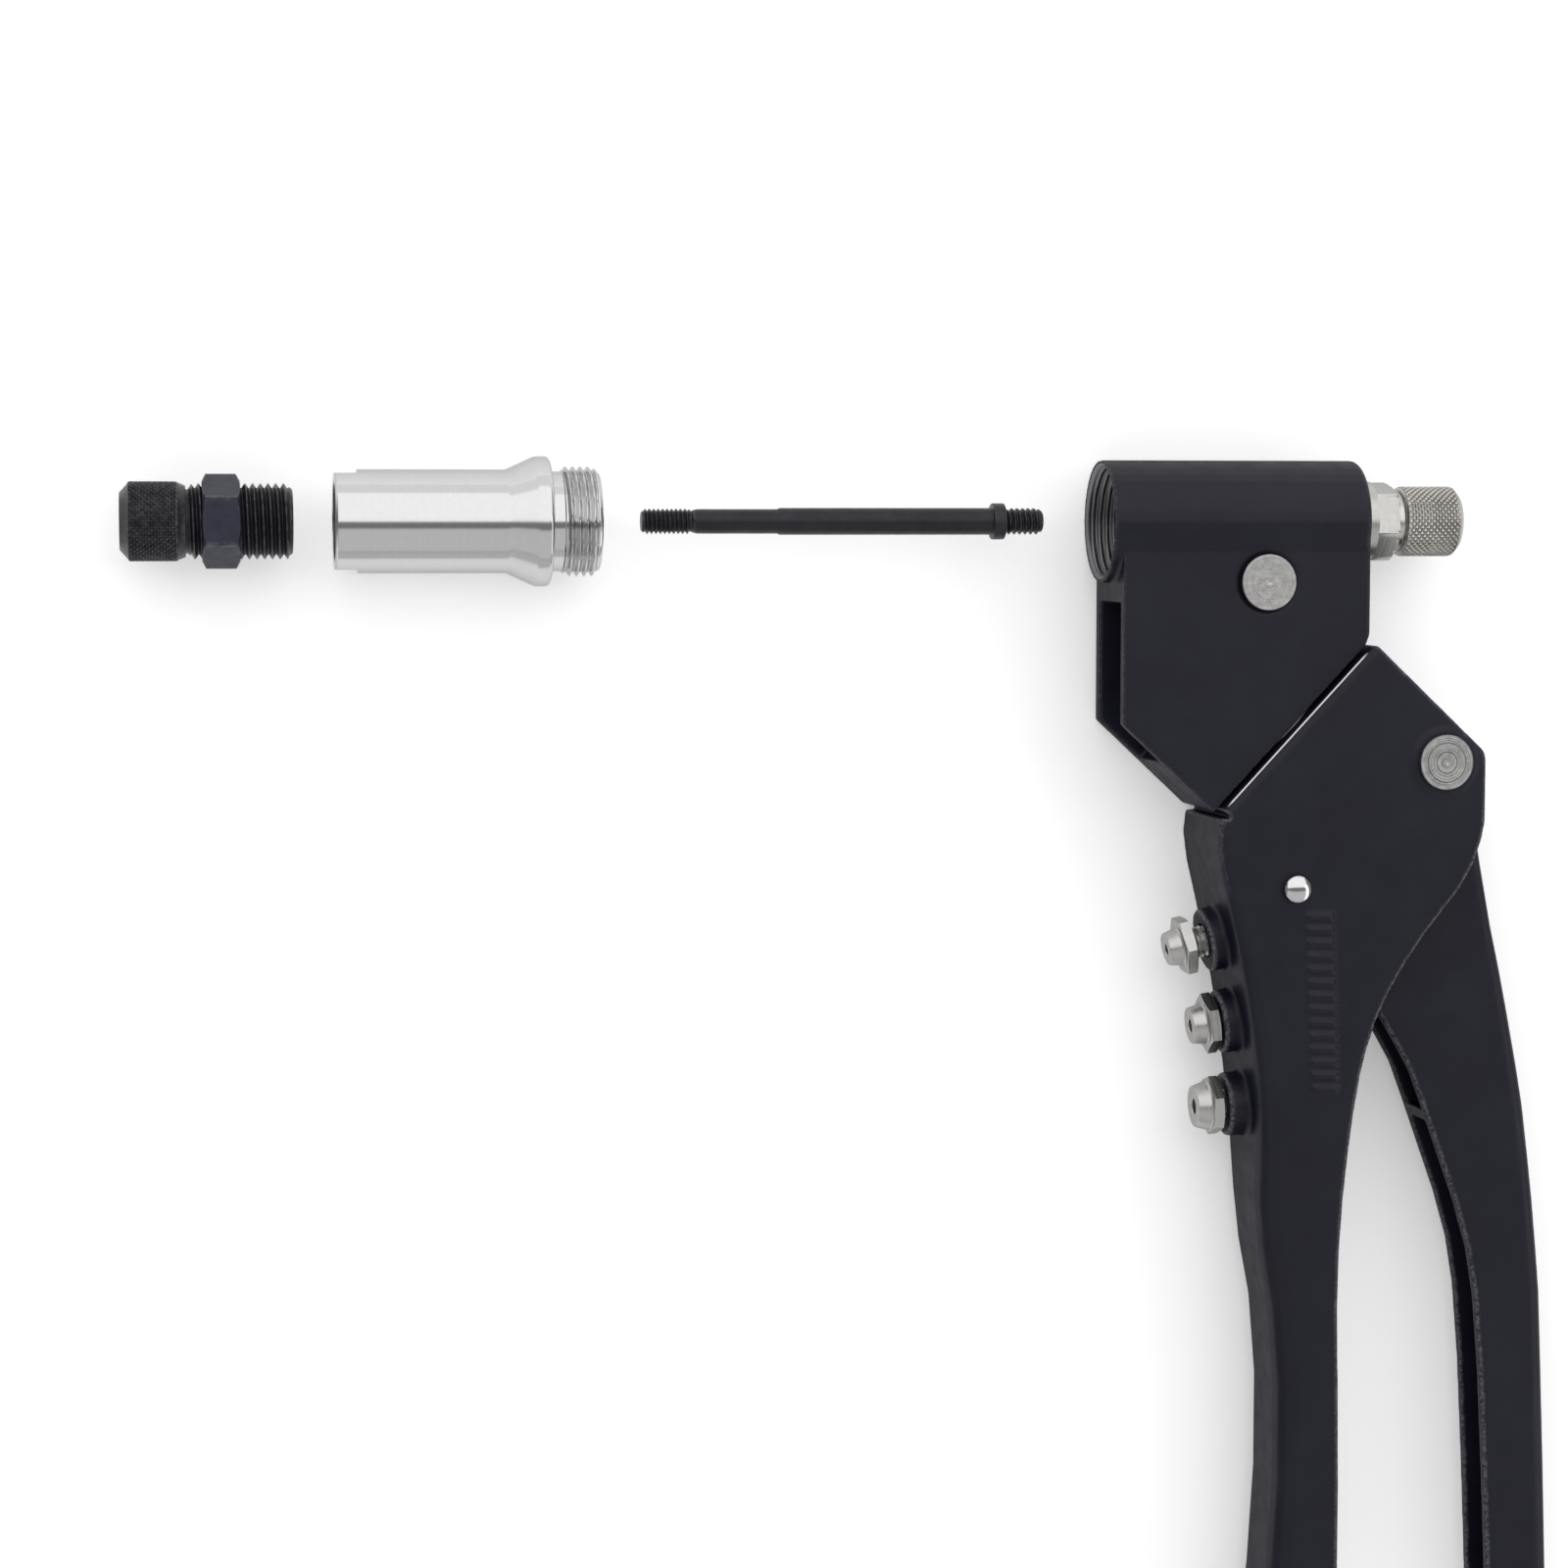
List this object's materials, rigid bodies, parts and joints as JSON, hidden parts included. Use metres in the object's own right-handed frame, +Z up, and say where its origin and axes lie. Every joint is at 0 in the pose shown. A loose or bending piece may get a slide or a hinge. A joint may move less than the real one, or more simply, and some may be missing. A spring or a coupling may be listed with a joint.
{
  "type": "hand riveter",
  "caption": "Swivel-head hand riveter for nut rivets, lying flat, with its threaded mandrel, front sleeve and nosepiece laid out in line ahead of the barrel.",
  "frame": {"origin": "bottom centre of the bounding box, on the surface the tool lies on", "axes": "+X along the barrel axis towards the rear knob, +Y up the handles towards the barrel, +Z up out of the near side"},
  "size_m": [0.2956, 0.263, 0.0283],
  "materials": {
    "black_cast": "black satin powder coat on a die casting",
    "nickel": "bright nickel plate",
    "dull_steel": "turned steel pin face",
    "black_oxide": "black oxide on steel",
    "spring_steel": "bare spring wire",
    "dark_steel": "oiled dark steel"
  },
  "bodies": {
    "body": {"fixed_handle": "black_cast", "lever_pin": "dull_steel", "spring_pin": "nickel", "swivel_bush": "dark_steel", "swivel_washer": "dark_steel", "swivel_circlip": "spring_steel", "lever_washer_near": "dark_steel", "lever_washer_far": "dark_steel", "opening_spring": "spring_steel"},
    "lever": {"moving_handle": "black_cast", "roller_pin": "spring_steel"},
    "roller": {"lever_roller": "dark_steel"},
    "push_rod": {"push_rod": "dark_steel"},
    "head": {"head_housing": "black_cast", "crank_pin": "dull_steel", "rear_plug": "nickel", "return_spring": "spring_steel"},
    "crank": {"bell_crank": "dark_steel"},
    "carriage": {"pull_carriage": "dark_steel"},
    "spindle": {"spindle": "dark_steel", "knob": "nickel"},
    "mandrel": {"mandrel": "black_oxide"},
    "sleeve": {"front_sleeve": "nickel"},
    "nosepiece": {"nosepiece": "black_oxide"},
    "lock_nut": {"lock_nut": "black_oxide"},
    "nose_large": {"rivet_nose_large": "nickel"},
    "nose_medium": {"rivet_nose_medium": "nickel"},
    "nose_small": {"rivet_nose_small": "nickel"}
  },
  "joints": [
    {"name": "handle_squeeze", "type": "hinge", "parent": "body", "child": "lever", "pos_m": [0.11934, 0.06922, 0.0132], "axis": [0, 0, -1], "range_deg": [0, 13], "stiffness_Nm_per_rad": 1.2, "springref_deg": -8.59, "deforming": ["opening_spring"]},
    {"name": "roller_turn", "type": "hinge", "parent": "lever", "child": "roller", "pos_m": [0.1092, 0.05629, 0.0132], "axis": [0, 0, 1], "continuous": true},
    {"name": "rod_push", "type": "slide", "parent": "body", "child": "push_rod", "axis": [-0.7278, 0.6858, 0], "range_m": [0, 0.0038]},
    {"name": "head_swivel", "type": "hinge", "parent": "body", "child": "head", "pos_m": [0.08758, 0.07666, 0.0132], "axis": [-0.7278, 0.6858, 0], "continuous": true},
    {"name": "crank_swing", "type": "hinge", "parent": "head", "child": "crank", "pos_m": [0.08174, 0.10619, 0.0132], "axis": [0, 0, -1], "range_deg": [0, 12.5]},
    {"name": "carriage_pull", "type": "slide", "parent": "head", "child": "carriage", "axis": [1, 0, 0], "range_m": [0, 0.0028], "deforming": ["return_spring"]},
    {"name": "knob_turn", "type": "hinge", "parent": "carriage", "child": "spindle", "pos_m": [0.11338, 0.11853, 0.0132], "axis": [1, 0, 0], "continuous": true},
    {"name": "mandrel_screw_in", "type": "slide", "parent": "spindle", "child": "mandrel", "axis": [1, 0, 0], "range_m": [0, 0.0249]},
    {"name": "sleeve_screw_on", "type": "slide", "parent": "head", "child": "sleeve", "axis": [1, 0, 0], "range_m": [0, 0.1128]},
    {"name": "nosepiece_screw_in", "type": "slide", "parent": "sleeve", "child": "nosepiece", "axis": [1, 0, 0], "range_m": [0, 0.018]},
    {"name": "lock_nut_turn", "type": "hinge", "parent": "nosepiece", "child": "lock_nut", "pos_m": [-0.12762, 0.11853, 0.0132], "axis": [1, 0, 0], "continuous": true},
    {"name": "nose_large_unscrew", "type": "slide", "parent": "body", "child": "nose_large", "axis": [-0.9781, -0.2079, 0], "range_m": [-0.002, 0.012]},
    {"name": "nose_medium_unscrew", "type": "slide", "parent": "body", "child": "nose_medium", "axis": [-0.9925, -0.1219, 0], "range_m": [0, 0.012]},
    {"name": "nose_small_unscrew", "type": "slide", "parent": "body", "child": "nose_small", "axis": [-0.9986, -0.0523, 0], "range_m": [0, 0.012]}
  ],
  "couplings": [
    {"joint": "rod_push", "follows": "handle_squeeze", "m_per_rad": 0.016374},
    {"joint": "crank_swing", "follows": "handle_squeeze", "ratio": 0.9364},
    {"joint": "carriage_pull", "follows": "handle_squeeze", "m_per_rad": 0.011555}
  ]
}
